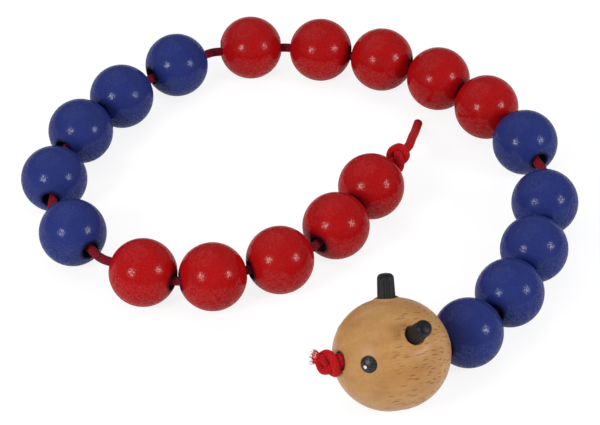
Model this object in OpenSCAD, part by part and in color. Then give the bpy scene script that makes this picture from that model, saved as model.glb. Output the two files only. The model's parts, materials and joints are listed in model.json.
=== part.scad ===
// Counting bead chain
// A wooden animal's head and twenty painted beads on one red cord, which is knotted at both ends.
// The chain lies on a table at z = 0. Bearings turn anticlockwise from +X, seen from above.
// The origin is on the table, below the middle of the chain's outline.

/* [Beads] */
// Diameter of a bead
bead_d = 25; // [22:0.5:28]
// Width of the softened lip round a bead's bore
bead_lip = 0.4; // [0.2:0.1:0.8]

/* [Head] */
// Diameter of the head
head_d = 39; // [36:0.5:44]
// Straight band between the two halves of the head
head_band = 2.5; // [0.5:0.5:4]
// Width of the softened lip round the head's bore
head_lip = 0.5; // [0.2:0.1:0.8]
// Turn of the head about its own bore
head_roll = 2; // [-10:1:10]

/* [Horns] */
// Diameter of a horn where it leaves the head
horn_d = 6.5; // [5:0.1:7]
// How much thinner a horn is at its tip
horn_taper = 0.8; // [0:0.1:1.2]
// Height of a horn over the head
horn_show = 9; // [7:0.5:12]
// Depth of a horn in its hole
horn_sink = 6.5; // [5:0.5:8]
// Lean of each horn to its side
horn_lean = 32; // [28:0.5:38]
// Distance of the horns ahead of the head's middle, on its band
horn_ahead = 1; // [0:0.25:1]
// Flutes round a horn
flute_count = 14; // [10:1:18]
// Width of a flute
flute_w = 0.5; // [0.3:0.1:0.8]
// Height of the raised rim round a horn's hole
rim_rise = 0.4; // [0.2:0.1:0.7]
// Width of the raised rim
rim_w = 1.2; // [0.8:0.1:1.6]

/* [Eyes] */
// Diameter of an eye
eye_d = 6; // [4.5:0.5:7]
// Height of an eye's dome over its seat
eye_rise = 1; // [0.8:0.1:2]
// Depth of an eye's flat seat in the head
eye_seat = 0.4; // [0.3:0.1:0.8]
// Diameter of an eye's pin
eye_pin_d = 3; // [2:0.2:3.6]
// Length of an eye's pin
eye_pin_len = 5; // [3:0.5:7]
// Angle of the left eye to the side of the nose
eye_left_side = 35; // [30:0.5:56]
// Angle of the left eye above the nose
eye_left_up = 19; // [0:0.5:26]
// Angle of the right eye to the side of the nose
eye_right_side = 55; // [30:0.5:56]
// Angle of the right eye above the nose
eye_right_up = 2; // [0:0.5:26]

/* [Cord] */
// Diameter of the cord
cord_d = 3.5; // [3:0.1:4]
// Diameter of the cord where a knot draws it tight
knot_cord_d = 2.7; // [2.4:0.1:3]
// Turn of the nose knot about the cord
nose_knot_roll = 80; // [0:5:355]
// Turn of the tail knot about the cord
tail_knot_roll = 330; // [0:5:355]
// Free cord between the last bead and the tail knot's first turn
tail_gap = 1; // [0.5:0.5:4]

/* [Fits] */
// Room on each side of the cord in a bore
cord_play = 1.25; // [1:0.05:1.6]
// Least space between the cord and the side of a bore
cord_seat = 0.3; // [0.2:0.05:0.5]
// Least space between the cord and the first bead's bore, where the cord climbs to the head
neck_seat = 0.15; // [0.1:0.05:0.2]
// Space between beads that touch
bead_clear = 0.3; // [0.3:0.05:0.6]
// Space between the head's mouth and the first bead
neck_gap = 0.6; // [0.5:0.1:2]
// Space in the joint between two straight runs of cord
bend_clear = 0.3; // [0.2:0.05:0.5]
// Space round a glued pin
glue_gap = 0.05; // [0.02:0.01:0.1]
// Space between the nose knot and the head
knot_clear = 0.4; // [0.3:0.1:1]
// Space between the last straight run of cord and the tail knot, which is turned to it
splice_clear = 0.3; // [0.3:0.05:0.5]

/* [Hidden] */
$fn = 96;
bead_count = 20;
run_count = 5;
bead_r = bead_d / 2;
head_r = head_d / 2;
head_half = head_r + head_band / 2;
cord_r = cord_d / 2;
bore_d = cord_d + 2 * cord_play;

// The cord's route: its bearing in the head and in the first bead, and its turn to the left after each bead
head_bearing = 25;
first_bearing = 44;
turns = [16, 11, 12, 30, 19, 7, 24, 5, 18, 30, 15, 9, 28, 38, 31, 36, 14, 30, 3];
// Slack of the cord after each bead, over what it takes for the next bead to touch
slack = [0.5, 0, 1, 10, 0, 0, 0, 0, 3, 6.5, 3.5, 0.5, 4, 6.5, 9.5, 0, 0.5, 2.5, 0.5];
// Beads with so much slack after them that the bend of the cord shows
crooks = [4, 10, 14, 15];
crook_reach = 3;

// The cord lies low in each bore, on the inner side of the chain's curve
cord_fall = 25;
cord_side = (cord_play - cord_seat) * cos(cord_fall);
cord_low = (cord_play - cord_seat) * sin(cord_fall);
cord_z = bead_r - cord_low;
neck_lift = sqrt(pow(cord_play - neck_seat, 2) - pow(cord_side, 2));

function heading(angle) = [cos(angle), sin(angle), 0];
function total(list, count) = count <= 0 ? 0 : list[count - 1] + total(list, count - 1);
function bearing(k) = first_bearing + total(turns, k - 1);
function touching(turn) =
    (bead_d + bead_clear - 2 * cord_side * sin(turn / 2)) / cos(turn / 2) - bead_d;
function space_after(k) =
    k == 0 ? 2 * neck_gap : k == bead_count ? 2 * tail_gap : touching(turns[k - 1]) + slack[k - 1];
function link_len(k) = space_after(k - 1) / 2 + bead_d + space_after(k) / 2;
function bead_along(k) = space_after(k - 1) / 2 + bead_r;

// The first run of cord dips from the head to the first bead's far side
dip_run = bead_r + space_after(1) / 2;
neck_dip = asin(cord_low / norm([dip_run, neck_lift])) + atan(neck_lift / dip_run);
function dip(k) = k == 1 ? neck_dip : 0;
neck_z = cord_z + link_len(1) * sin(neck_dip);

// The head rests on its ball, and its nose is up because its neck is held by the cord
head_pitch = asin((head_r - neck_z) / norm([head_r, cord_low])) - atan(cord_low / head_r);
nose_bearing = head_bearing + 180;
nose_axis = [cos(head_pitch) * cos(nose_bearing), cos(head_pitch) * sin(nose_bearing), sin(head_pitch)];
nose_left = [-sin(nose_bearing), cos(nose_bearing), 0];
nose_over = cross(nose_axis, nose_left);

// The walk along the cord, from the neck at [0, 0] to the end of each bead's run
function walk(k) = k == 0 ? [0, 0, neck_z]
    : walk(k - 1) + link_len(k) * (cos(dip(k)) * heading(bearing(k)) - [0, 0, sin(dip(k))]);
function walk_bead(k) = walk(k - 1) + bead_along(k) * cos(dip(k)) * heading(bearing(k))
    - cord_side * heading(bearing(k) + 90);
walk_head = walk(0) + head_half * nose_axis + cord_side * nose_left + cord_low * nose_over;

// The middle of the outline, which is the origin
walk_beads = [for (k = [1:bead_count]) walk_bead(k)];
head_x = head_r + head_band / 2 * abs(nose_axis.x);
head_y = head_r + head_band / 2 * abs(nose_axis.y);
low_x = min(min([for (c = walk_beads) c.x]) - bead_r, walk_head.x - head_x);
high_x = max(max([for (c = walk_beads) c.x]) + bead_r, walk_head.x + head_x);
low_y = min(min([for (c = walk_beads) c.y]) - bead_r, walk_head.y - head_y);
high_y = max(max([for (c = walk_beads) c.y]) + bead_r, walk_head.y + head_y);
middle = [(low_x + high_x) / 2, (low_y + high_y) / 2, 0];
function pivot(k) = walk(k) - middle;
head_centre = walk_head - middle;

// The overhand knot's route from its middle to one end, in units of the tight cord's diameter
// The other half is the same, half a turn round Y
knot_half = [
    [0, 1.3, 0], [-0.15, 1.15, -0.65], [-0.5, 0.7, -1.15], [-0.9, -0.25, -1.25], [-0.95, -0.9, -0.85],
    [-0.7, -1.2, -0.05], [-0.3, -0.9, 0.45], [0.15, -0.4, 0.55], [0.5, 0, 0.25], [1, 0.3, 0],
    [1.4, 0.4, 0], [1.7, 0.4, 0], [2, 0.4, 0]
];
knot_reach = knot_half[len(knot_half) - 1].x * knot_cord_d;
knot_off = 0.4;
// How far a knot's turns reach along the cord from its middle
knot_turns = 1.5 * knot_cord_d;
knot_steps = 2;
cord_sides = 8;

// The tail's route past its knot: forward, to the left, and how far down to the table from 0 to 1
tail_bend = -8;
tail_route = [
    [0, 0, 0], [2, 0, 0], [5, 0.9, 0.1], [9, 3, 0.3], [14, 5.7, 0.52], [18, 7.8, 0.74],
    [22.5, 10.1, 0.94], [27.5, 12.4, 1]
];

function two_digits(k) = k < 10 ? str("0", k) : str(k);
function bead_name(k) = str("bead_", two_digits(k));
function cord_name(k) = str("cord_", two_digits(k));
function crook_name(k) = str("cord_bend_", two_digits(k));
function has_crook(k) = len([for (c = crooks) if (c == k) c]) > 0;
function crook_cut(k) = has_crook(k) ? crook_reach : 0;

// Places

// The start of bead k's run of cord, with +X along the cord
module at_link(k) {
    translate(pivot(k - 1))
        rotate([0, dip(k), bearing(k)])
            children();
}

// The middle of the head, with +X to the nose
module at_nose() {
    translate(head_centre)
        rotate([0, -head_pitch, nose_bearing])
            children();
}

// The same, with the head's own roll, so that +Z is between its horns
module at_head() {
    at_nose()
        rotate([head_roll, 0, 0])
            children();
}

// The middle of a horn's foot on the head, with +Z out of the head; side is 1 for the left, -1 for the right
module at_horn(side) {
    at_head()
        rotate([-side * horn_lean, 0, 0])
            translate([horn_ahead, 0, head_r])
                children();
}

// The left eye is on side 1
function eye_side(side) = side > 0 ? eye_left_side : eye_right_side;
function eye_up(side) = side > 0 ? eye_left_up : eye_right_up;

// The middle of an eye's seat, with +Z out of the head
module at_eye(side) {
    at_head()
        translate([head_band / 2, 0, 0])
            rotate([0, 90 - eye_up(side), side * eye_side(side)])
                translate([0, 0, head_r - eye_seat])
                    children();
}

// Shapes

// A bore along X through the ball's middle, with a softened lip at each end of the length
module bore(length, lip) {
    rotate([0, 90, 0])
        rotate_extrude()
            bore_outline(length, lip);
}

// Half of the bore's outline, from the axis to its side
module bore_outline(length, lip) {
    past = bore_d;
    polygon([
        [0, -length / 2 - past], [bore_d / 2 + lip + past, -length / 2 - past],
        [bore_d / 2, -length / 2 + lip], [bore_d / 2, length / 2 - lip],
        [bore_d / 2 + lip + past, length / 2 + past], [0, length / 2 + past]
    ]);
}

// Depth of a ball's surface below its pole at a radius from the axis
function pole_drop(ball_r, radius) = ball_r - sqrt(pow(ball_r, 2) - pow(radius, 2));

// A straight run of cord along X, with a round end at its far side and a hollow at its near side
module cord_run(start, end, near_hollow, far_round) {
    difference() {
        union() {
            translate([start, 0, 0])
                rotate([0, 90, 0])
                    cylinder(d = cord_d, h = end - start);
            if (far_round)
                translate([end, 0, 0])
                    sphere(d = cord_d);
        }
        if (near_hollow)
            translate([start, 0, 0])
                sphere(r = cord_r + bend_clear);
    }
}

// Tubes along a route

function unit(v) = v / norm(v);
function spline(a, b, c, d, t) =
    b + 0.5 * t * (c - a + t * (2 * a - 5 * b + 4 * c - d + t * (3 * (b - c) + d - a)));
function point_at(list, i) =
    i < 0 ? 2 * list[0] - list[1]
    : i >= len(list) ? 2 * list[len(list) - 1] - list[len(list) - 2]
    : list[i];
function smooth(list, steps) = [
    for (i = [0:len(list) - 2])
        for (s = [0:steps - 1])
            spline(point_at(list, i - 1), list[i], list[i + 1], point_at(list, i + 2), s / steps),
    list[len(list) - 1]
];
function along(list, i) = unit(point_at(list, i + 1) - point_at(list, i - 1));
// Carries a side direction from ring to ring without twist
function sides(list, i, last) =
    let (
        t = along(list, i),
        next = unit(last - (last * t) * t)
    )
    i == len(list) - 1 ? [next] : concat([next], sides(list, i + 1, next));

// A tube through the points, with a radius at each
module tube(points, radii, side) {
    count = len(points);
    normals = sides(points, 0, side);
    ring_points = [
        for (i = [0:count - 1])
            let (
                across = normals[i],
                other = cross(along(points, i), across)
            )
            for (s = [0:cord_sides - 1])
                let (angle = 360 * s / cord_sides)
                points[i] + radii[i] * (cos(angle) * across + sin(angle) * other)
    ];
    walls = [
        for (i = [0:count - 2])
            for (s = [0:cord_sides - 1])
                let (
                    a = i * cord_sides + s,
                    b = i * cord_sides + (s + 1) % cord_sides
                )
                each [[a, b + cord_sides, b], [a, a + cord_sides, b + cord_sides]]
    ];
    near_cap = [for (s = [0:cord_sides - 1]) s];
    far_cap = [for (s = [cord_sides - 1:-1:0]) (count - 1) * cord_sides + s];
    polyhedron(points = ring_points, faces = concat([near_cap], walls, [far_cap]));
}

// An overhand knot in the cord along X, with its middle at the origin
module knot() {
    route = concat(
        [for (i = [len(knot_half) - 1:-1:1]) [-knot_half[i].x, knot_half[i].y, -knot_half[i].z]],
        knot_half
    );
    points = [for (p = smooth(route, knot_steps)) knot_cord_d * (p - [0, knot_off, 0])];
    middle_ring = (len(points) - 1) / 2;
    open_from = 0.75;
    radii = [
        for (i = [0:len(points) - 1])
            let (
                outward = abs(i - middle_ring) / middle_ring,
                opening = max(0, (outward - open_from) / (1 - open_from))
            )
            knot_cord_d / 2 + (cord_r - knot_cord_d / 2) * pow(opening, 2)
    ];
    tube(points, radii, [0, 0, 1]);
}

// Wooden pieces

// One bead, k from 1 at the head to the last at the tail
module bead(k) {
    blue = floor((k - 1) / run_count) % 2 == 0;
    lift = k == 1 ? -neck_lift : cord_low;
    mouths = bead_d - 2 * pole_drop(bead_r, bore_d / 2);
    color(blue ? [0.16, 0.21, 0.45] : [0.67, 0.09, 0.09])
        at_link(k)
            translate([bead_along(k), -cord_side, lift])
                rotate([0, 90, 0])
                    rotate_extrude()
                        difference() {
                            circle(d = bead_d);
                            bore_outline(mouths, bead_lip);
                            translate([-bead_d, -bead_d])
                                square([bead_d, 2 * bead_d]);
                        }
}

// The head's ball, made of two half balls and a band between them
module head_ball() {
    rotate([0, 90, 0])
        rotate_extrude() {
            intersection() {
                union() {
                    for (end = [-1, 1])
                        translate([0, end * head_band / 2])
                            circle(d = head_d);
                    translate([-head_r, -head_band / 2])
                        square([head_d, head_band]);
                }
                translate([0, -head_half])
                    square([head_r, 2 * head_half]);
            }
        }
}

module head() {
    mouths = 2 * head_half - 2 * pole_drop(head_r, bore_d / 2);
    color([0.80, 0.63, 0.40])
        difference() {
            union() {
                at_head()
                    head_ball();
                for (side = [-1, 1])
                    at_horn(side)
                        horn_rim();
            }
            at_head()
                bore(mouths, head_lip);
            for (side = [-1, 1]) {
                at_horn(side)
                    translate([0, 0, -horn_sink])
                        cylinder(d = horn_d + 2 * glue_gap, h = horn_sink + 2 * rim_w);
                at_eye(side) {
                    cylinder(d = eye_d + 2 * glue_gap, h = 2 * eye_rise);
                    translate([0, 0, -eye_pin_len - glue_gap])
                        cylinder(d = eye_pin_d + 2 * glue_gap, h = eye_pin_len + eye_rise);
                }
            }
        }
}

// The soft rim that the drill raises round a horn's hole
module horn_rim() {
    rim_r = (horn_d + rim_w) / 2;
    translate([0, 0, rim_rise - rim_w / 2 - pole_drop(head_r, rim_r)])
        rotate_extrude()
            translate([rim_r, 0])
                circle(d = rim_w);
}

// One horn: a fluted dowel with a domed end
module horn(side) {
    tip_r = (horn_d - horn_taper) / 2;
    color([0.13, 0.13, 0.15])
        at_horn(side)
            difference() {
                union() {
                    translate([0, 0, glue_gap - horn_sink])
                        cylinder(d = horn_d, h = horn_sink - glue_gap);
                    cylinder(r1 = horn_d / 2, r2 = tip_r, h = horn_show - tip_r / 2);
                    intersection() {
                        translate([0, 0, horn_show - 1.25 * tip_r])
                            sphere(r = 1.25 * tip_r);
                        translate([0, 0, horn_show - tip_r / 2])
                            cylinder(r = tip_r, h = tip_r);
                    }
                }
                for (i = [0:flute_count - 1])
                    rotate([0, 0, 360 * i / flute_count])
                        translate([horn_d / 2, 0, rim_rise])
                            cylinder(d = flute_w, h = horn_show);
            }
}

// One eye: a low dome on a pin
module eye(side) {
    dome_r = (pow(eye_d / 2, 2) + pow(eye_rise, 2)) / (2 * eye_rise);
    color([0.08, 0.08, 0.09])
        at_eye(side) {
            intersection() {
                translate([0, 0, eye_rise - dome_r])
                    sphere(r = dome_r);
                cylinder(d = eye_d, h = eye_rise);
            }
            translate([0, 0, -eye_pin_len])
                cylinder(d = eye_pin_d, h = eye_pin_len);
        }
}

// Cord

// The middle of the nose knot, on the cord's line through the head
nose_knot_x = head_half - pole_drop(head_r, knot_turns) + knot_clear + knot_turns;

// The run of cord in the head, from the neck to the nose knot
module head_cord() {
    color([0.72, 0.10, 0.12])
        at_nose()
            translate([0, -cord_side, -cord_low])
                mirror([1, 0, 0])
                    cord_run(knot_reach - nose_knot_x, head_half, false, true);
}

// The run of cord through bead k
module bead_cord(k) {
    near = k == 1 ? 0 : crook_cut(k - 1);
    color([0.72, 0.10, 0.12])
        at_link(k)
            cord_run(near, link_len(k) - crook_cut(k), true, k < bead_count);
}

// The short bend of cord in the gap after bead k, with a flat near end and a rounded far end
module cord_bend(k) {
    ahead = heading(bearing(k));
    onward = heading(bearing(k + 1));
    tip = 0.7;
    points = [
        pivot(k) - (crook_reach - cord_r - bend_clear) * ahead,
        pivot(k),
        pivot(k) + 0.4 * crook_reach * onward,
        pivot(k) + crook_reach * onward,
        pivot(k) + (crook_reach + tip * cord_r) * onward
    ];
    radii = [cord_r, cord_r, cord_r, cord_r, cord_r * sqrt(1 - tip * tip)];
    color([0.72, 0.10, 0.12])
        tube(points, radii, [0, 0, 1]);
}

module nose_knot() {
    color([0.72, 0.10, 0.12])
        at_nose()
            translate([nose_knot_x, -cord_side, -cord_low])
                rotate([nose_knot_roll, 0, 0])
                    knot();
}

// The start of the tail knot, with +X along the knot
module at_tail() {
    at_link(bead_count)
        translate([link_len(bead_count) + splice_clear, 0, 0])
            rotate([0, 0, tail_bend])
                children();
}

module tail_knot() {
    color([0.72, 0.10, 0.12])
        at_tail()
            translate([knot_reach, 0, 0])
                rotate([tail_knot_roll, 0, 0])
                    knot();
}

module tail_cord() {
    points = [for (p = smooth(tail_route, 1)) [p.x, p.y, -p.z * (cord_z - cord_r)]];
    color([0.72, 0.10, 0.12])
        at_tail()
            translate([2 * knot_reach, 0, 0])
                tube(points, [for (p = points) cord_r], [0, 0, 1]);
}

head();
horn(1);  // horn_left
horn(-1);  // horn_right
eye(1);  // eye_left
eye(-1);  // eye_right
nose_knot();
tail_knot();
tail_cord();
for (k = [1:bead_count]) bead(k);
head_cord();
for (k = [1:bead_count]) bead_cord(k);
for (k = crooks) cord_bend(k);
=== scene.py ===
import json
import random
from math import asin, atan2, cos, hypot, pi, radians, sin, sqrt, tan

import bmesh
import bpy
from mathutils import Matrix, Vector


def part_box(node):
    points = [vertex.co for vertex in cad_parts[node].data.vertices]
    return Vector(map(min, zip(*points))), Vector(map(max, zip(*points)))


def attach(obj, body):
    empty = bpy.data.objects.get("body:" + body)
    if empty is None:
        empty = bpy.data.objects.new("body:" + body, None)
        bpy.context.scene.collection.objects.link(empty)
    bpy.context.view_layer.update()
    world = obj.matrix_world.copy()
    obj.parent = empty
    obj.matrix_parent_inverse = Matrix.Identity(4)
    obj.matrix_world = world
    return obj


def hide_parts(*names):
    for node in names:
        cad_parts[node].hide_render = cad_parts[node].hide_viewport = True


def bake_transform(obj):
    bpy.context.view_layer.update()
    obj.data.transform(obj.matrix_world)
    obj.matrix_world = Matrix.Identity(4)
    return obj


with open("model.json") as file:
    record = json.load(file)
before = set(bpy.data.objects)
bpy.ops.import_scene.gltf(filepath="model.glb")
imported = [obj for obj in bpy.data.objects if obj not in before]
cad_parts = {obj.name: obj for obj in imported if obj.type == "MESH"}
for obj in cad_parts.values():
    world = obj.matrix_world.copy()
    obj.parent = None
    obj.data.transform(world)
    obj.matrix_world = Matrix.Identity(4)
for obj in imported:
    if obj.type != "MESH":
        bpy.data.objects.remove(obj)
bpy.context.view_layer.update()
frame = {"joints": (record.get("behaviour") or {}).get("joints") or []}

# The table, the studio lights and the camera
# The toy lies on white paper between two softboxes, one on each side of the camera. A broad and weaker light
# behind it gives each ball its small shadow. The camera has a long lens and looks down at 42 degrees.
mm = 0.001
image_width = 600
aim = Vector((0.7, -5.6, 12.5)) * mm
camera_distance = 859 * mm
camera_rise = radians(42)
focal_length_in_pixels = 2310


def colour(red, green, blue):
    """A screen colour, each part from 0 to 255, in the linear light that Blender works in."""
    parts = [c / 255 for c in (red, green, blue)]
    return (*[c / 12.92 if c < 0.04 else ((c + 0.055) / 1.055) ** 2.4 for c in parts], 1.0)


camera_data = bpy.data.cameras.new("camera")
camera_data.sensor_width = 36
camera_data.lens = camera_data.sensor_width * focal_length_in_pixels / image_width
camera_data.clip_start = 0.01
camera = bpy.data.objects.new("camera", camera_data)
camera.location = aim + camera_distance * Vector((0, -cos(camera_rise), sin(camera_rise)))
camera.rotation_euler = (pi / 2 - camera_rise, 0, 0)
bpy.context.scene.collection.objects.link(camera)
bpy.context.scene.camera = camera
bpy.context.scene.view_settings.view_transform = "Standard"


def softbox(name, to_the_right, up, distance, size, share):
    """A square softbox, seen from the toy at an angle from the camera, in degrees. A white card that faces it
    and has no other light shows its share of white."""
    view = Vector((0, -cos(camera_rise), sin(camera_rise)))
    above = Vector((0, sin(camera_rise), cos(camera_rise)))
    across = Vector((1, 0, 0))
    level = cos(radians(to_the_right)) * view + sin(radians(to_the_right)) * across
    direction = cos(radians(up)) * level + sin(radians(up)) * above
    lamp = bpy.data.lights.new(name, "AREA")
    lamp.size = size
    lamp.energy = share * (pi * distance) ** 2
    box = bpy.data.objects.new(name, lamp)
    box.location = aim + distance * direction
    box.rotation_euler = direction.to_track_quat("Z", "Y").to_euler()
    bpy.context.scene.collection.objects.link(box)


softbox("left_softbox", to_the_right=-37, up=0, distance=0.9, size=0.27, share=0.44)
softbox("right_softbox", to_the_right=55, up=7, distance=0.9, size=0.27, share=0.35)
softbox("back_light", to_the_right=-50, up=62, distance=1.8, size=2.2, share=0.20)

world = bpy.data.worlds.new("studio")
world.use_nodes = True
world.node_tree.nodes["Background"].inputs["Color"].default_value = (0.95, 0.97, 1.0, 1.0)
world.node_tree.nodes["Background"].inputs["Strength"].default_value = 0.38
bpy.context.scene.world = world


class Value:
    """A socket of a finish that can stand in a sum, so that a pattern reads as arithmetic."""

    def __init__(self, finish, socket):
        self.finish = finish
        self.socket = socket

    def math(self, operation, *values, clamp=False):
        settings = {"operation": operation, "use_clamp": clamp}
        return self.finish.node("ShaderNodeMath", settings, dict(enumerate(values)))

    def __add__(self, other):
        return self.math("ADD", self, other)

    def __sub__(self, other):
        return self.math("SUBTRACT", self, other)

    def __rsub__(self, other):
        return self.math("SUBTRACT", other, self)

    def __mul__(self, other):
        return self.math("MULTIPLY", self, other)

    def __pow__(self, other):
        return self.math("POWER", self, other)

    __radd__ = __add__
    __rmul__ = __mul__

    def clipped(self):
        return self.math("ADD", self, 0, clamp=True)

    def floor(self):
        return self.math("FLOOR", self)

    def fraction(self):
        return self.math("FRACT", self)

    def size(self):
        return self.math("ABSOLUTE", self)

    def part(self, axis):
        return self.finish.node("ShaderNodeSeparateXYZ", {}, {0: self}, axis)


class Finish:
    """A material that is put together on Blender's own Principled shader."""

    def __init__(self, name, **fixed):
        self.material = bpy.data.materials.new(name)
        self.material.use_nodes = True
        self.nodes = self.material.node_tree.nodes
        self.links = self.material.node_tree.links
        self.shader = self.nodes["Principled BSDF"]
        for socket, value in fixed.items():
            self.shader.inputs[socket.replace("_", " ")].default_value = value

    def node(self, kind, settings, sockets, output=0):
        made = self.nodes.new(kind)
        for setting, value in settings.items():
            if setting == "stops":
                ramp = made.color_ramp.elements
                while len(ramp) < len(value):
                    ramp.new(1.0)
                for stop, (place, tint) in zip(ramp, value):
                    stop.position = place
                    stop.color = tint
            else:
                setattr(made, setting, value)
        for socket, value in sockets.items():
            if isinstance(value, Value):
                self.links.new(value.socket, made.inputs[socket])
            else:
                made.inputs[socket].default_value = value
        return Value(self, made.outputs[output])

    def place(self):
        return self.node("ShaderNodeTexCoord", {}, {}, "Object")

    def turned(self, vector, location=(0, 0, 0), rotation=(0, 0, 0), scale=(1, 1, 1)):
        sockets = {"Vector": vector, "Location": location, "Rotation": rotation, "Scale": scale}
        return self.node("ShaderNodeMapping", {"vector_type": "TEXTURE"}, sockets)

    def noise(self, vector, size, detail=2.0, roughness=0.5):
        sockets = {"Vector": vector, "Scale": 1 / size, "Detail": detail, "Roughness": roughness}
        return self.node("ShaderNodeTexNoise", {}, sockets)

    def blend(self, share, first, second):
        """A share of the second colour over the first. Sockets 6 and 7 and output 2 are for colours."""
        return self.node("ShaderNodeMix", {"data_type": "RGBA"}, {0: share, 6: first, 7: second}, 2)

    def ramp(self, value, *stops):
        return self.node("ShaderNodeValToRGB", {"stops": stops}, {0: value})

    def step(self, value, low, high):
        """From 0 at low to 1 at high, with a soft start and end. Sockets 1 and 2 are the range, and 3 and 4
        are what it becomes."""
        settings = {"interpolation_type": "SMOOTHSTEP"}
        return self.node("ShaderNodeMapRange", settings, {0: value, 1: low, 2: high, 3: 0.0, 4: 1.0})

    def attribute(self, name):
        return self.node("ShaderNodeAttribute", {"attribute_name": name}, {}, "Fac")

    def bump(self, height, depth):
        """Height runs from 0 to 1, and depth is the real height of 1."""
        sockets = {"Height": height, "Distance": depth, "Strength": 1.0}
        self.links.new(self.node("ShaderNodeBump", {}, sockets).socket, self.shader.inputs["Normal"])

    def feed(self, **sockets):
        for socket, value in sockets.items():
            self.links.new(value.socket, self.shader.inputs[socket.replace("_", " ")])


def in_scene(name, shape, material):
    """The shape becomes an object of one material."""
    mesh = bpy.data.meshes.new(name)
    shape.to_mesh(mesh)
    shape.free()
    mesh.materials.append(material)
    piece = bpy.data.objects.new(name, mesh)
    bpy.context.scene.collection.objects.link(piece)
    return piece


# Plain paper lights the toy, but the camera and the reflections see it overexposed to white, with the shadow.
paper_half_width = 3.0
paper = Finish("paper", Base_Color=colour(235, 235, 235), Roughness=1.0, Specular_IOR_Level=0.0)
seen = paper.node("ShaderNodeLightPath", {}, {}, "Is Camera Ray")
mirrored = paper.node("ShaderNodeLightPath", {}, {}, "Is Glossy Ray")
through = paper.node("ShaderNodeLightPath", {}, {}, "Is Transmission Ray")
shade = paper.node("ShaderNodeBsdfDiffuse", {}, {"Color": colour(140, 140, 142)})
glow = paper.node("ShaderNodeEmission", {}, {"Color": (1, 1, 1, 1), "Strength": 0.835})
white = paper.node("ShaderNodeAddShader", {}, {0: shade, 1: glow})
bright = (seen + mirrored + through).clipped()
plain = Value(paper, paper.shader.outputs[0])
sheet = paper.node("ShaderNodeMixShader", {}, {0: bright, 1: plain, 2: white})
paper.links.new(sheet.socket, paper.nodes["Material Output"].inputs["Surface"])

floor_shape = bmesh.new()
bmesh.ops.create_grid(floor_shape, x_segments=1, y_segments=1, size=paper_half_width)
in_scene("floor", floor_shape, paper.material)

# The cord
# One length of round braided cord, dyed red, runs from the knot at the nose through the head and all the
# balls to the knot at the tail. It lies low in each bore, and bends in the gaps between the balls.
cord_radius = 1.75 * mm
threaded_radius = 1.7 * mm
tight_radius = 1.5 * mm
bead_radius = 12.5 * mm
bead_count = 20
tail_gap = 1.0 * mm
splice_clear = 0.3 * mm
# After these balls so much cord shows that it has a bend and a lift joint, crook_reach from its corner.
crooks = (4, 10, 14, 15)
# After these, two balls touch and hide the cord's bend.
split_bends = (8, 16)
crook_reach = 3.0 * mm
crook_blend = 2.2 * mm
corner_reach = 1.8 * mm
corner_blend = 2.0 * mm
strands_each_way = 8
plait_length = 1.9 * mm
ring_step = 0.7 * mm
around_cord = 20


def joint(name):
    return next(j for j in frame["joints"] if j["name"] == name)


def bead_joint(k):
    return next(j for j in frame["joints"] if j["child"] == f"bead_{k:02}")


def middle(node):
    low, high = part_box(node)
    return (Vector(low) + Vector(high)) / 2


nose_axis = Vector(joint("head_spin")["axis"])
runs = [-nose_axis] + [Vector(bead_joint(k)["axis"]) for k in range(1, bead_count + 1)]
bends = [Vector(joint("neck_bend")["pos_m"])]
bends += [Vector(joint(f"bend_{k:02}")["pos_m"]) for k in range(1, bead_count)]
# The corners where straight runs meet. A crook's bend joint lies crook_reach before its corner.
pivots = [bend + runs[k] * (crook_reach if k in crooks else 0) for k, bend in enumerate(bends)]


def in_ball(k):
    """The cord's middle in the head, which is 0, or in ball k."""
    if k == 0:
        return pivots[0] - runs[0] * (middle("head") - pivots[0]).length
    return pivots[k - 1] + runs[k] * (middle(f"bead_{k:02}") - pivots[k - 1]).dot(runs[k])


cord_end = in_ball(bead_count) + runs[bead_count] * (bead_radius + tail_gap)


def smooth_route(points, steps):
    """A curve through the points, with each gap between them cut into that many steps."""
    points = [Vector(p) for p in points]
    ends = [2 * points[0] - points[1], *points, 2 * points[-1] - points[-2]]
    route = []
    for a, b, c, d in zip(ends, ends[1:], ends[2:], ends[3:]):
        for t in (s / steps for s in range(steps)):
            bend = 2 * a - 5 * b + 4 * c - d + t * (3 * (b - c) + d - a)
            route.append(b + 0.5 * t * (c - a + t * bend))
    return route + [points[-1]]


def evenly(points, spacing):
    """The same route with its points a spacing apart."""
    route = [points[0]]
    for a, b in zip(points, points[1:]):
        count = max(1, round((b - a).length / spacing))
        route += [a.lerp(b, s / count) for s in range(1, count + 1)]
    return route


def round_corner(corner, before, after, reach):
    """The curve in which the cord takes a corner, from reach before it to reach after it."""
    count = 8
    least_turn = radians(0.5)
    turn = before.angle(after)
    if turn < least_turn:
        return [corner - reach * before, corner, corner + reach * after]
    radius = reach / tan(turn / 2)
    inward = (after - before).normalized()
    centre = corner + inward * radius / cos(turn / 2)
    axis = before.cross(after).normalized()
    start = corner - reach * before - centre
    return [centre + Matrix.Rotation(turn * s / count, 3, axis) @ start for s in range(count + 1)]


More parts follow.
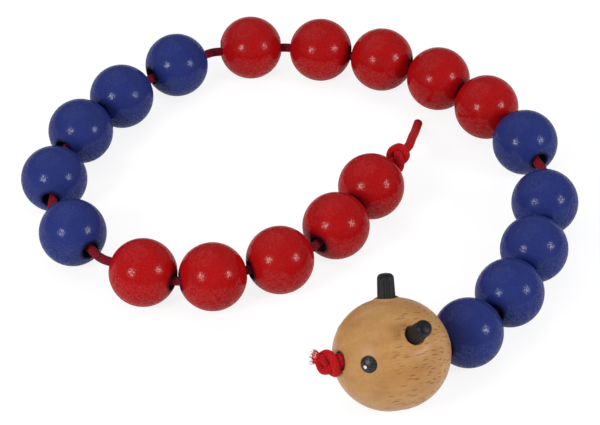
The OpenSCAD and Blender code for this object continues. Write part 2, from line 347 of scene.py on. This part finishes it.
def cord_tube(name, points, radii, material, side=Vector((0, 0, 1))):
    """Cord along the points: one ring is pulled from point to point without twist, and both ends are closed.
    Its own map runs once round the cord, and along it in plait lengths."""
    shape = bmesh.new()
    around = shape.verts.layers.float.new("around")
    along = shape.verts.layers.float.new("along")
    travelled = 0.0
    placed = None
    for i, (point, radius) in enumerate(zip(points, radii)):
        forward = (points[min(i + 1, len(points) - 1)] - points[max(i - 1, 0)]).normalized()
        side = (side - side.dot(forward) * forward).normalized()
        across = Matrix((side, forward.cross(side), forward)).transposed().to_4x4()
        place = Matrix.Translation(point) @ across @ Matrix.Scale(radius / mm, 4)
        if placed is None:
            bmesh.ops.create_circle(shape, segments=around_cord, radius=mm, cap_ends=True)
            for vert in shape.verts:
                vert[around] = (atan2(vert.co.y, vert.co.x) / (2 * pi)) % 1.0
            bmesh.ops.transform(shape, verts=shape.verts, matrix=place)
            edge = shape.edges[:]
        else:
            travelled += (point - points[i - 1]).length
            pulled = bmesh.ops.extrude_edge_only(shape, edges=edge)["geom"]
            ring = [g for g in pulled if isinstance(g, bmesh.types.BMVert)]
            edge = [g for g in pulled if isinstance(g, bmesh.types.BMEdge)]
            bmesh.ops.transform(shape, verts=ring, matrix=place @ placed.inverted())
            for vert in ring:
                vert[along] = travelled / plait_length
        placed = place
    bmesh.ops.contextual_create(shape, geom=edge)
    bmesh.ops.recalc_face_normals(shape, faces=shape.faces)
    weave = shape.loops.layers.uv.new("cord")
    for face in shape.faces:
        turns = [loop.vert[around] for loop in face.loops]
        is_wall = len(turns) == 4
        crosses_seam = max(turns) - min(turns) > 0.5 and is_wall
        for loop, turn in zip(face.loops, turns):
            loop[weave].uv = (turn + 1 if crosses_seam and turn < 0.5 else turn, loop.vert[along])
        face.smooth = is_wall
    return in_scene(name, shape, material)


def braid(name, dyed, shadow, light):
    """A round braid: strands cross over and under each other, with painted shade between them and painted
    light on their backs.
    """
    cord = Finish(name, Roughness=0.85, Specular_IOR_Level=0.15, Sheen_Weight=0.04, Sheen_Roughness=0.4)
    braid_map = cord.node("ShaderNodeUVMap", {"uv_map": "cord"}, {})
    across, length = braid_map.part(0), braid_map.part(1)
    rising = across * strands_each_way + length
    falling = across * strands_each_way - length
    crossing = (rising.floor() + falling.floor()) * 0.5
    over = crossing.fraction() * 2
    back_rising = 1 - (rising.fraction() - 0.5).size() * 2
    back_falling = 1 - (falling.fraction() - 0.5).size() * 2
    top = over * back_rising ** 0.5 + (1 - over) * back_falling ** 0.5
    other = over * back_falling + (1 - over) * back_rising
    height = top * (0.6 + other * 0.4)
    fibre = cord.noise(cord.place(), 0.12 * mm, detail=3)
    patch = cord.noise(cord.place(), 3.5 * mm)
    tone = (height * 0.75 + fibre * 0.45 - 0.1 + (patch - 0.5) * 0.3).clipped()
    dye = cord.ramp(tone, (0.0, shadow), (0.55, dyed), (1.0, light))
    singed = cord.attribute("singed")
    cord.feed(Base_Color=cord.blend(singed, dye, colour(74, 10, 26)), Roughness=0.85 - singed * 0.35)
    cord.bump(height * 0.8 + fibre * 0.2, 0.16 * mm)
    return cord.material


red_cord = braid("red_cord", dyed=colour(194, 18, 24), shadow=colour(118, 10, 24),
                 light=colour(210, 34, 34))
# The cord that runs through the balls and shows in their gaps is darker: painted shade, for the shade in the
# gaps.
painted_shade_cord = braid("painted_shade_cord", dyed=colour(128, 18, 38), shadow=colour(62, 14, 34),
                    light=colour(154, 34, 44))


def lay_cord(name, points, body, nodes, radii=None, finish=painted_shade_cord):
    """A piece of the cord. What runs through the balls is darkened with painted shade, and the open ends are
    bright.
    """
    piece = cord_tube(name, points, radii or [threaded_radius] * len(points), finish)
    if nodes:
        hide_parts(*nodes)
    if body:
        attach(piece, body)
    return piece


def domed(points):
    """The points with a round end after the last one, and the radii to go with them. The end is a little
    thinner than the cord, so that it lies inside the next piece."""
    thinner = 0.98
    dome = (0.35, 0.65, 0.87, 0.97)
    forward = (points[-1] - points[-2]).normalized()
    tip = [points[-1] + threaded_radius * share * forward for share in dome]
    tip_radii = [thinner * threaded_radius * sqrt(1 - share * share) for share in dome]
    return points + tip, [threaded_radius] * len(points) + tip_radii


for k in range(bead_count):
    corner, before, after = pivots[k], runs[k], runs[k + 1]
    bodies = ("cord" if k == 0 else f"link_{k:02}", f"link_{k + 1:02}")
    reach = crook_reach if k in crooks else corner_reach
    bend = round_corner(corner, before, after, reach)
    route = evenly([in_ball(k), *bend, in_ball(k + 1)], ring_step)
    split_at = min(range(len(route)), key=lambda i: (route[i] - corner).length)
    if k in crooks:
        crook = f"cord_bend_{k:02}"
        bend, lift = bends[k], Vector(joint(f"lift_{k:02}")["pos_m"])
        near = lay_cord(f"cord_run_{k:02}", route[:split_at + 1], None, [f"cord_{k:02}"])
        bend - crook_blend * before
        bend + crook_blend * before
        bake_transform(near)
        far = lay_cord(f"cord_crook_{k:02}", route[split_at:], None, [crook])
        lift - crook_blend * after
        lift + crook_blend * after
        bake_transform(far)
    elif k in split_bends:
        # Each half goes with its own ball, and their round ends turn in each other.
        near, near_radii = domed(route[:split_at + 1])
        far, far_radii = domed(route[split_at:][::-1])
        lay_cord(f"cord_run_{k:02}", near, bodies[0], [f"cord_{k:02}"], near_radii)
        lay_cord(f"cord_half_{k:02}", far, bodies[1], [], far_radii)
    else:
        piece = lay_cord(f"cord_run_{k:02}", route, None, [f"cord_{k:02}"])
        corner - corner_blend * before
        corner + corner_blend * after
        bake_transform(piece)

last = evenly([in_ball(bead_count), cord_end + splice_clear * runs[bead_count]], ring_step)
lay_cord("cord_run_20", last, f"link_{bead_count}", [f"cord_{bead_count}"])

# The knots
# Each end of the cord is tied in one overhand knot and drawn tight against the wood, so that the cord is
# thinner in its turns. The nose end is cut short and frayed, and the tail end is left long.
knot_unit = 2.7 * mm
knot_off = 0.4
# One half of the knot's route, from its middle out, in knot units. The cord runs along X.
knot_half = [
    (0, 1.3, 0), (-0.15, 1.15, -0.65), (-0.5, 0.7, -1.15), (-0.9, -0.25, -1.25), (-0.95, -0.9, -0.85),
    (-0.7, -1.2, -0.05), (-0.3, -0.9, 0.45), (0.15, -0.4, 0.55), (0.5, 0, 0.25), (1, 0.3, 0),
    (1.4, 0.4, 0), (1.7, 0.4, 0), (2, 0.4, 0),
]
knot_reach = knot_half[-1][0] * knot_unit
knot_turns = 1.5 * knot_unit
knot_clear = 0.4 * mm
knot_draw = 0.92
drawn_within = 1.6 * knot_unit
opens_from = 0.75
knot_pull = 1.1 * mm
nose_squeeze = 0.72
# The nose end is cut short: after this many points its half of the route goes on as the stub.
nose_stub_from = 9
nose_stub = [(0.95, 0.45, 0.45), (1.9, 0.5, 0.7)]
nose_knot_roll = radians(80)
tail_knot_roll = radians(330)
tail_tight_radius = 1.62 * mm
# The size of the head, whose mouth the nose knot is drawn against
head_radius = 19.5 * mm
head_band = 2.5 * mm

up = Vector((0, 0, 1))
nose_left = up.cross(nose_axis).normalized()
nose_over = nose_axis.cross(nose_left)


def knot_route(place, roll, far_half, squeeze=1.0):
    """The overhand knot along X, with its turns drawn in towards its middle and squeezed along X."""
    near_half = [(-x, y, -z) for x, y, z in reversed(knot_half[1:])]
    route = [knot_unit * Vector((x, y - knot_off, z)) for x, y, z in near_half + far_half]
    route = [p * knot_draw if p.length < drawn_within else p for p in route]
    place = place @ Matrix.Rotation(roll, 4, "X") @ Matrix.Diagonal((squeeze, 1, 1, 1))
    return [place @ p for p in smooth_route(route, steps=6)]


def knot_radii(points, tight=tight_radius):
    """The cord is tight in the knot's turns, and full where it enters and leaves."""
    half = (len(points) - 1) / 2
    from_middle = [abs(i - half) / half for i in range(len(points))]
    opening = [max(0.0, (share - opens_from) / (1 - opens_from)) for share in from_middle]
    return [tight + (cord_radius - tight) * share ** 2 for share in opening]


head_half = head_radius + head_band / 2
mouth_drop = head_radius - sqrt(head_radius ** 2 - knot_turns ** 2)
nose_knot_middle = in_ball(0) + nose_axis * (head_half - mouth_drop + knot_clear + knot_turns)
nose_frame = Matrix((nose_axis, nose_left, nose_over)).transposed().to_4x4()
nose_place = Matrix.Translation(nose_knot_middle - knot_pull * nose_axis) @ nose_frame
nose_far_half = knot_half[:nose_stub_from] + nose_stub
nose_points = knot_route(nose_place, nose_knot_roll, nose_far_half, nose_squeeze)
nose_radii = knot_radii(nose_points)
halfway = len(nose_radii) // 2
nose_radii[halfway:] = [min(radius, tight_radius) for radius in nose_radii[halfway:]]
lay_cord("nose_knot_cord", nose_points, "cord", ["nose_knot"], nose_radii, red_cord)

# Where the knot is drawn against the mouth, the cord bunches up and fills the end of the bore. Its end there
# is rounded.
bunch_start = 12 * mm
bunch_full = 17 * mm
bunch_end = 22.2 * mm
bunch_radius = 2.85 * mm
bunch_rounding = (0.93, 0.7)
low_line = in_ball(0) - middle("head")
bunch = evenly([in_ball(0), in_ball(0) + bunch_end * nose_axis], ring_step)
bunched = [((p - in_ball(0)).length - bunch_start) / (bunch_full - bunch_start) for p in bunch]
bunched = [min(1.0, max(0.0, share)) for share in bunched]
bunch = [p - low_line * share for p, share in zip(bunch, bunched)]
bunch_radii = [cord_radius + (bunch_radius - cord_radius) * share for share in bunched]
bunch_radii[-2:] = [share * bunch_radius for share in bunch_rounding]
lay_cord("cord_run_nose", bunch, "cord", [], bunch_radii, red_cord)

# The tuft
# The cord is cut off just past the nose knot and has frayed: its threads stand out in a small brush and are
# paler at their tips, with painted light on the top ones. Thick yarns fill the brush, and fine threads stand
# out of it.
tuft_spread = radians(31)
# Each kind's count, its threads' radius at the root, and their least and greatest length
yarn_kinds = [(34, 0.55 * mm, 1.9 * mm, 3.1 * mm), (60, 0.12 * mm, 2.2 * mm, 3.6 * mm)]
yarn_root = 0.5 * mm
yarn_steps = 4
yarn_sides = 5
yarn_taper = 0.35
least_lean, most_lean = 0.7, 1.25
most_curl = 0.15

thread = Finish("frayed_thread", Roughness=0.9, Specular_IOR_Level=0.1)
# The threads turn paler towards their tips, and painted light makes those on top of the brush nearly white.
thread_tone = thread.attribute("out") + (thread.noise(thread.place(), 0.5 * mm) - 0.5) * 0.4
thread.feed(Base_Color=thread.ramp(thread_tone, (0.7, colour(196, 18, 24)), (0.9, colour(212, 66, 66)),
                                   (1.0, colour(232, 196, 190))))

chance = random.Random(7)
stub_end = nose_points[-1]
stub_forward = (nose_points[-1] - nose_points[-3]).normalized()
stub_side = stub_forward.cross(up).normalized()
stub_above = stub_side.cross(stub_forward)
tuft = bmesh.new()
out_along = tuft.verts.layers.float.new("out")
for count, thickness, shortest, longest in yarn_kinds:
    for _ in range(count):
        turn = chance.uniform(0, 2 * pi)
        share = sqrt(chance.random())
        outward = cos(turn) * stub_side + sin(turn) * stub_above
        root = stub_end + share * (tight_radius - thickness) * outward - yarn_root * stub_forward
        lean = share * tuft_spread * chance.uniform(least_lean, most_lean)
        curl = chance.uniform(-most_curl, most_curl)
        length = chance.uniform(shortest, longest)
        # The threads on top are painted paler: painted light where light falls on the brush.
        painted_light_on_top = 0.8 + 0.2 * sin(turn)
        along_yarn = cos(lean) * stub_forward + sin(lean) * outward
        facing = along_yarn.to_track_quat("Z", "Y").to_matrix().to_4x4()
        placed = None
        for step in range(yarn_steps + 1):
            out = step / yarn_steps
            point = root + length * (out * along_yarn + curl * out * out * stub_forward.cross(outward))
            place = Matrix.Translation(point) @ facing @ Matrix.Scale(1 - yarn_taper * out, 4)
            if placed is None:
                round_end = {"segments": yarn_sides, "radius": thickness, "cap_ends": True}
                ring = bmesh.ops.create_circle(tuft, **round_end)["verts"]
                bmesh.ops.transform(tuft, verts=ring, matrix=place)
                edge = list({e for v in ring for e in v.link_edges})
            else:
                pulled = bmesh.ops.extrude_edge_only(tuft, edges=edge)["geom"]
                ring = [g for g in pulled if isinstance(g, bmesh.types.BMVert)]
                edge = [g for g in pulled if isinstance(g, bmesh.types.BMEdge)]
                bmesh.ops.transform(tuft, verts=ring, matrix=place @ placed.inverted())
            placed = place
            for vert in ring:
                vert[out_along] = out * painted_light_on_top
        bmesh.ops.contextual_create(tuft, geom=edge)
bmesh.ops.recalc_face_normals(tuft, faces=tuft.faces)
tuft_piece = in_scene("nose_tuft", tuft, thread.material)
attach(tuft_piece, "cord")

# The tail
# The free end of the cord past the tail knot, 32.5 mm long, curves down to the table and lies on it. Its end
# is cut square and sealed with heat, which darkens it.
tail_bend = radians(-8)
singed_length = 1.6 * mm
singed_within = 5 * mm

tail_forward = Matrix.Rotation(tail_bend, 3, "Z") @ runs[bead_count]
tail_left = up.cross(tail_forward)
tail_start = cord_end + splice_clear * runs[bead_count]
tail_frame = Matrix((tail_forward, tail_left, up)).transposed().to_4x4()
tail_knot_middle = tail_start + knot_reach * tail_forward
tail_points = knot_route(Matrix.Translation(tail_knot_middle) @ tail_frame, tail_knot_roll, knot_half)
tail_radii = knot_radii(tail_points, tail_tight_radius)
lay_cord("tail_knot_cord", tail_points, f"link_{bead_count}", ["tail_knot"], tail_radii, red_cord)
# Where the tail goes from its knot, in mm ahead and to the left, and its share of the drop to the table
tail_route = [
    (0, 0, 0), (2, 0, 0), (5, 0.9, 0.1), (9, 3, 0.3), (14, 5.7, 0.52), (18, 7.8, 0.74), (22.5, 10.1, 0.94),
    (27.5, 12.4, 1),
]
tail_exit = tail_start + 2 * knot_reach * tail_forward
tail_drop = tail_exit.z - cord_radius
tail_mm = [Vector((x * mm, y * mm, -share * tail_drop)) for x, y, share in tail_route]
tail_path = smooth_route([Matrix.Translation(tail_exit) @ tail_frame @ p for p in tail_mm], steps=5)
tail_length = sum((b - a).length for a, b in zip(tail_path, tail_path[1:]))
tail_radii = [cord_radius] * len(tail_path)
tail = lay_cord("tail_cord_free", tail_path, f"link_{bead_count}", ["tail_cord"], tail_radii, red_cord)
singed = tail.data.attributes.new("singed", "FLOAT", "POINT")
inward = (tail_path[-2] - tail_path[-1]).normalized()
for vert in tail.data.vertices:
    from_end = vert.co - tail_path[-1]
    if from_end.length < singed_within:
        singed.data[vert.index].value = max(0.0, 1 - from_end.dot(inward) / singed_length) ** 0.7

# The balls
# Twenty turned wooden balls with a bore from side to side, dipped in glossy paint, five blue and five red by
# turns. The dip leaves the paint faintly uneven, with fine specks in its gloss. It is dull at the mouths of
# the bore, and painted shade darkens the paint round them and in the bore.
bore_radius = 3.0 * mm
bead_lip = 0.4 * mm
# Painted shade darkens the paint and the wood this far round the mouths of the bore.
mouth_shade_reach = 1.9 * mm


def spin_round(shape, steps):
    """The outline is spun once round Z."""
    outline = shape.verts[:] + shape.edges[:]
    bmesh.ops.spin(shape, geom=outline, cent=(0, 0, 0), axis=(0, 0, 1), angle=2 * pi, steps=steps,
                   use_merge=True)


def smoothed(shape):
    """Every face is turned outward and shaded smooth."""
    bmesh.ops.recalc_face_normals(shape, faces=shape.faces)
    for face in shape.faces:
        face.smooth = True
    return shape


def bored_ball(radius, band, lip, around, along):
    """A ball with a bore along Z: its outline is swept from mouth to mouth and spun, the bore's wall joins
    the two mouths, and their edges are rounded. The band is a straight piece between the two halves. Each
    point knows how far it is in the mouth that painted shade darkens, from 0 to 1."""
    shape = bmesh.new()
    mouth = asin(bore_radius / radius)
    first = shape.verts.new((bore_radius, 0, radius * cos(mouth) + band / 2))
    quarter = {"axis": (0, 1, 0), "angle": pi / 2 - mouth, "steps": along // 2}
    swept = bmesh.ops.spin(shape, geom=[first], cent=(0, 0, band / 2), **quarter)["geom_last"]
    if band:
        swept = bmesh.ops.extrude_vert_indiv(shape, verts=swept)["verts"]
        bmesh.ops.translate(shape, verts=swept, vec=(0, 0, -band))
    bmesh.ops.spin(shape, geom=swept, cent=(0, 0, -band / 2), **quarter)
    spin_round(shape, steps=around)
    mouths = [edge for edge in shape.edges if edge.is_boundary]
    bmesh.ops.bridge_loops(shape, edges=mouths)
    bmesh.ops.bevel(shape, geom=mouths, offset=lip, segments=3, affect="EDGES", profile=0.5, material=-1)
    depth = shape.verts.layers.float.new("in_bore")
    for vert in shape.verts:
        out = hypot(vert.co.x, vert.co.y)
        vert[depth] = min(1.0, max(0.0, (bore_radius + mouth_shade_reach - out) / mouth_shade_reach))
    return smoothed(shape)


def turned_piece(name, shape, place, material, body, node=None):
    """The shape goes to its place on the toy and stands for its node there."""
    bmesh.ops.transform(shape, verts=shape.verts, matrix=place)
    piece = in_scene(name, shape, material)
    if node:
        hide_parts(node)
    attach(piece, body)


def dipped_paint(name, paint, thin, thick, bore_shade):
    """Glossy dipped paint: wide patches of a thicker coat, orange peel, specks of gloss, and a dull edge in
    the bore, which painted shade darkens together with the paint round its mouth."""
    coat = Finish(name, Specular_IOR_Level=0.0, Coat_Roughness=0.19, Coat_IOR=1.5)
    place = coat.place()
    patch = coat.noise(place, 9 * mm, detail=3)
    peel = coat.noise(place, 0.85 * mm, detail=1, roughness=0.6)
    gloss = coat.step(coat.noise(place, 0.55 * mm, detail=1), 0.36, 0.66)
    dust = coat.noise(place, 0.4 * mm, detail=1)
    bore = coat.attribute("in_bore")
    tone = coat.blend(coat.step(patch, 0.3, 0.7), thick, paint)
    tone = coat.blend(coat.step(peel, 0.62, 0.9) * 0.25, tone, thin)
    # Painted shade: the paint turns dark towards the mouth of the bore and in it.
    tone = coat.blend(coat.step(bore, 0.0, 0.7) * 0.85, tone, bore_shade)
    sealed = 1 - coat.step(bore, 0.3, 1.0)
    coat.feed(Base_Color=tone, Roughness=0.5 + (peel - 0.5) * 0.2, Coat_Weight=(0.08 + gloss * 0.5) * sealed)
    coat.bump(peel * 0.8 + dust * 0.2, 0.12 * mm)
    return coat.material


blue_paint = dipped_paint("blue_paint", paint=colour(42, 54, 120), thin=colour(49, 62, 132),
                          thick=colour(39, 50, 115), bore_shade=colour(18, 17, 42))
red_paint = dipped_paint("red_paint", paint=colour(176, 15, 17), thin=colour(186, 24, 24),
                         thick=colour(170, 14, 17), bore_shade=colour(70, 18, 46))

for k in range(1, bead_count + 1):
    bead = f"bead_{k:02}"
    is_blue = (k - 1) // 5 % 2 == 0
    finish, slot = (blue_paint, "blue_lacquer") if is_blue else (red_paint, "red_lacquer")
    place = Matrix.Translation(middle(bead)) @ runs[k].to_track_quat("Z", "Y").to_matrix().to_4x4()
    ball = bored_ball(bead_radius, 0, bead_lip, around=96, along=56)
    turned_piece(f"ball_{k:02}", ball, place, finish, bead, bead)

# The head
# A turned ball of plain beech, 2.5 mm longer than it is wide, sanded and given a thin satin lacquer. Drilling
# has raised the wood softly round the two horns, and each eye sits in a shallow flat seat.
head_lip = 0.5 * mm
head_roll = radians(2)
horn_lean = radians(32)
horn_ahead = 1.0 * mm
horn_radius = 3.25 * mm
rim_height = 0.6 * mm
rim_crest = 3.6 * mm
rim_reach = 5.3 * mm
# At a horn's foot the wood turns down into the hole.
hole_edge = 0.35 * mm
hole_drop = 0.9 * mm
# The left side is 1 and the right side is -1.
eye_side = {1: radians(35), -1: radians(55)}
eye_up = {1: radians(19), -1: radians(2)}
eye_radius = 3.0 * mm
eye_seat = 0.4 * mm
eye_rise = 1.0 * mm
seat_edge = 0.25 * mm
# Only wood above these levels belongs to a horn or an eye, and not to what lies behind it.
horn_level = -6 * mm
seat_level = -2 * mm
# The mesh is made finer twice, each time this near to the horns and the eyes.
finer_within = (6.2 * mm, 4.6 * mm)

head_middle = Vector(joint("head_spin")["pos_m"])
head_frame = Matrix.Translation(head_middle) @ nose_frame @ Matrix.Rotation(head_roll, 4, "X")


def horn_frame(side):
    """The middle of a horn's foot on the head's surface, with Z out of the head."""
    lean = Matrix.Rotation(-side * horn_lean, 4, "X")
    return head_frame @ lean @ Matrix.Translation((horn_ahead, 0, head_radius))


def eye_frame(side):
    """The middle of an eye's seat, with Z out of the head."""
    turn = Matrix.Rotation(side * eye_side[side], 4, "Z") @ Matrix.Rotation(pi / 2 - eye_up[side], 4, "Y")
    seat = Matrix.Translation((0, 0, head_radius - eye_seat))
    return head_frame @ Matrix.Translation((head_band / 2, 0, 0)) @ turn @ seat


def axis_distance(point, place):
    """How far a point is from the Z axis of a place, and how far up along it."""
    local = place.inverted() @ point
    return hypot(local.x, local.y), local.z


def socket_distance(point):
    """How far a point of the head is from the nearest axis of a horn or an eye."""
    places = [axis_distance(point, socket) for socket in sockets]
    return min((distance for distance, level in places if level > horn_level), default=1.0)


head_shape = bored_ball(head_radius, head_band, head_lip, around=180, along=112)
along_nose = Matrix.Rotation(pi / 2, 4, "Y")
bmesh.ops.transform(head_shape, verts=head_shape.verts, matrix=head_frame @ along_nose)
sockets = [horn_frame(1), horn_frame(-1), eye_frame(1), eye_frame(-1)]
for reach in finer_within:
    near = [edge for edge in head_shape.edges if max(socket_distance(v.co) for v in edge.verts) < reach]
    bmesh.ops.subdivide_edges(head_shape, edges=near, cuts=1, use_grid_fill=True)

# The head's surface is laid out again from its core line, with the rims raised on it.
to_head = head_frame.inverted()
for vert in head_shape.verts:
    local = to_head @ vert.co
    core = Vector((max(-head_band / 2, min(head_band / 2, local.x)), 0, 0))
    out = local - core
    if hypot(local.y, local.z) < bore_radius + head_lip:
        continue
    lifted = head_radius
    for side in (-1, 1):
        distance, level = axis_distance(vert.co, horn_frame(side))
        if level > horn_level and distance < rim_reach:
            outside = min(1.0, max(0.0, (rim_reach - distance) / (rim_reach - rim_crest)))
            lifted += rim_height * outside ** 2 * (3 - 2 * outside)
            if distance < horn_radius + hole_edge:
                lifted -= hole_drop * min(1.0, (horn_radius + hole_edge - distance) / hole_edge)
    vert.co = head_frame @ (core + out.normalized() * lifted)
for side in (-1, 1):
    for vert in head_shape.verts:
        distance, level = axis_distance(vert.co, eye_frame(side))
        if distance < eye_radius + seat_edge and level > seat_level:
            drop = min(1.0, (eye_radius + seat_edge - distance) / seat_edge)
            local = eye_frame(side).inverted() @ vert.co
            local.z = min(local.z, local.z * (1 - drop))
            vert.co = eye_frame(side) @ local
smoothed(head_shape)

grain_axis = Vector((0.97, 0.10, 0.13)).normalized()
grain_tilt = Matrix.Rotation(-camera_rise, 3, "X")
grain_turn = (grain_axis.to_track_quat("X", "Z").to_matrix() @ grain_tilt).to_euler()

beech = Finish("beech", Specular_IOR_Level=0.34)
grain_place = beech.turned(beech.place(), head_middle, grain_turn)
bands = beech.noise(beech.turned(grain_place, scale=(5.0, 1.0, 1.0)), 4.2 * mm, detail=3)
cloud = beech.noise(grain_place, 10 * mm, detail=2)
fibres = beech.noise(beech.turned(grain_place, scale=(7.0, 1.0, 1.0)), 0.3 * mm, detail=3)
ripple = beech.noise(beech.turned(grain_place, scale=(1.0, 4.5, 4.5)), 0.9 * mm, detail=2)
fleck_place = beech.turned(grain_place, scale=(4.8 * mm, 3.0 * mm, 0.66 * mm))
cells = {"Vector": fleck_place, "Scale": 1.0, "Randomness": 0.9}
fleck_middle = beech.node("ShaderNodeTexVoronoi", {"feature": "F1"}, cells)
fleck_choice = beech.noise(fleck_place, 1.6, detail=0)
to_the_back = grain_place.part(0) - grain_place.part(2) * 0.35
ahead = 1 - beech.step(to_the_back + (cloud - 0.5) * 16 * mm, -3 * mm, 4 * mm)
fleck = (1 - beech.step(fleck_middle, 0.2, 0.4)) * beech.step(fleck_choice, 0.3, 0.46) * (1 - ahead * 0.85)
tone = bands * 0.55 + cloud * 0.4 + fibres * 0.2 + (ripple - 0.5) * (0.06 + ahead * 0.14) - 0.08
tan_wood = beech.ramp(tone, (0.28, colour(176, 121, 64)), (0.5, colour(190, 139, 81)),
                      (0.78, colour(206, 159, 104)))
wood = beech.blend(fleck * 0.68, tan_wood, colour(122, 72, 38))
# Painted shade darkens the wood towards the mouths of the bore.
wood = beech.blend(beech.step(beech.attribute("in_bore"), 0.35, 1.0), wood, colour(70, 42, 24))
beech.feed(Base_Color=wood, Roughness=0.4 + fleck * 0.2 + (fibres - 0.5) * 0.12)
beech.bump(fibres * 0.3 - fleck * 0.5 + ripple * 0.15, 0.07 * mm)
turned_piece("turned_head", head_shape, Matrix.Identity(4), beech.material, "head", "head")

# The horns
# Two lengths of fluted dowel, stained black, glued in drilled holes. The outer end is turned to a dome, and
# the glue flutes of the dowel still show down its sides and run out below the dome.
horn_show = 8.75 * mm
horn_root = 1.6 * mm
tip_radius = 2.95 * mm
tip_round = 1.7 * mm
tip_turn = radians(84)
crown_rise = 0.18 * mm
crown_radius = 0.2 * mm
wall_steps = 12
flute_count = 14
flute_depth = 0.22 * mm
flute_half_width = 0.3
flute_end = 1.2 * mm
flute_fade = 1.5 * mm
unfluted_radius = 0.5 * mm

stain = Finish("black_stain", Specular_IOR_Level=0.24)
stain_place = stain.place()
stain_patch = stain.noise(stain_place, 1.6 * mm, detail=3)
stain_fine = stain.noise(stain_place, 0.3 * mm, detail=2)
stain.feed(Base_Color=stain.ramp(stain_patch, (0.3, colour(15, 14, 17)), (0.75, colour(28, 26, 32))),
           Roughness=0.42 + (stain_fine - 0.5) * 0.3)
stain.bump(stain_patch * 0.6 + stain_fine * 0.4, 0.08 * mm)

for side, name in ((1, "left"), (-1, "right")):
    horn = bmesh.new()
    shoulder = horn_show - crown_rise - tip_round
    foot = horn.verts.new((horn_radius, 0, -horn_root))
    rise = shoulder + horn_root
    wall_step = ((tip_radius - horn_radius) / wall_steps, 0, rise / wall_steps)
    wall = [foot]
    for _ in range(wall_steps):
        wall = bmesh.ops.extrude_vert_indiv(horn, verts=wall)["verts"]
        bmesh.ops.translate(horn, verts=wall, vec=wall_step)
    rounding = {"cent": (tip_radius - tip_round, 0, shoulder), "axis": (0, -1, 0), "angle": tip_turn}
    edge = bmesh.ops.spin(horn, geom=wall, steps=8, **rounding)["geom_last"]
    edge = [g for g in edge if isinstance(g, bmesh.types.BMVert)]
    crown = bmesh.ops.extrude_vert_indiv(horn, verts=edge)["verts"]
    bmesh.ops.translate(horn, verts=crown, vec=Vector((crown_radius, 0, horn_show)) - crown[0].co)
    spin_round(horn, steps=flute_count * 8)
    bmesh.ops.holes_fill(horn, edges=[e for e in horn.edges if e.is_boundary])
    for vert in horn.verts:
        turn = atan2(vert.co.y, vert.co.x) * flute_count / (2 * pi)
        in_flute = max(0.0, 1 - abs(turn - round(turn)) / flute_half_width)
        fade = min(1.0, max(0.0, (horn_show - flute_end - vert.co.z) / flute_fade))
        width = hypot(vert.co.x, vert.co.y)
        if width > unfluted_radius:
            closer = 1 - flute_depth * in_flute * fade / width
            vert.co.x *= closer
            vert.co.y *= closer
    turned_piece(f"fluted_horn_{name}", smoothed(horn), horn_frame(side), stain.material, "head",
                 f"horn_{name}")

# The eyes
# Two black domed pins are pressed into the head, each to the edge of its dome. A glint is dotted on each with
# a brush, in thick white paint that is a low dome itself.
eye_edge = 0.3 * mm
glint_radius = 0.62 * mm
glint_rise = 0.12 * mm
glint_edge = 0.05 * mm
glint_sink = 0.03 * mm
glint_lean = radians(16)
glint_turn = radians(-28)

eye_black = Finish("eye_black", Specular_IOR_Level=0.4)
# Grey specks in the black are painted sheen, for the speckled gloss of the dome; they also vary its roughness
# and bump.
eye_speck_and_sheen = eye_black.noise(eye_black.place(), 0.45 * mm, detail=3)
eye_black.feed(Base_Color=eye_black.ramp(eye_speck_and_sheen, (0.45, colour(18, 17, 18)), (0.8, colour(74, 74, 74))),
               Roughness=0.34 + (eye_speck_and_sheen - 0.5) * 0.4)
eye_black.bump(eye_speck_and_sheen, 0.09 * mm)
glint_white = Finish("glint_white", Roughness=0.35)
glint_tone = glint_white.noise(glint_white.place(), 0.3 * mm)
glint_white.feed(Base_Color=glint_white.ramp(glint_tone, (0.3, colour(225, 224, 220)),
                                             (0.7, colour(242, 242, 240))))


def dome_ball(radius, rise):
    """The radius of the ball that a dome is a slice of."""
    return (radius ** 2 + rise ** 2) / (2 * rise)


def dome_shape(radius, rise, depth, steps):
    """A low dome over a short straight edge, spun from its outline."""
    shape = bmesh.new()
    ball = dome_ball(radius, rise)
    top = shape.verts.new((0, 0, rise))
    edge = bmesh.ops.spin(shape, geom=[top], cent=(0, 0, rise - ball), axis=(0, 1, 0),
                          angle=asin(radius / ball), steps=steps)["geom_last"]
    low = bmesh.ops.extrude_vert_indiv(shape, verts=edge)["verts"]
    bmesh.ops.translate(shape, verts=low, vec=(0, 0, -depth))
    spin_round(shape, steps=48)
    bmesh.ops.remove_doubles(shape, verts=shape.verts, dist=0.001 * mm)
    bmesh.ops.holes_fill(shape, edges=[e for e in shape.edges if e.is_boundary])
    return smoothed(shape)


eye_ball = dome_ball(eye_radius, eye_rise)
for side, name in ((1, "left"), (-1, "right")):
    eye = dome_shape(eye_radius, eye_rise, eye_edge, steps=12)
    turned_piece(f"domed_eye_{name}", eye, eye_frame(side), eye_black.material, "head",
                 f"eye_{name}")
    ball_middle = Matrix.Translation((0, 0, eye_rise - eye_ball))
    lean = Matrix.Rotation(glint_turn * side, 4, "Z") @ Matrix.Rotation(glint_lean, 4, "Y")
    spot = eye_frame(side) @ ball_middle @ lean @ Matrix.Translation((0, 0, eye_ball - glint_sink))
    glint = dome_shape(glint_radius, glint_rise, glint_edge, steps=6)
    turned_piece(f"eye_glint_{name}", glint, spot, glint_white.material, "head")
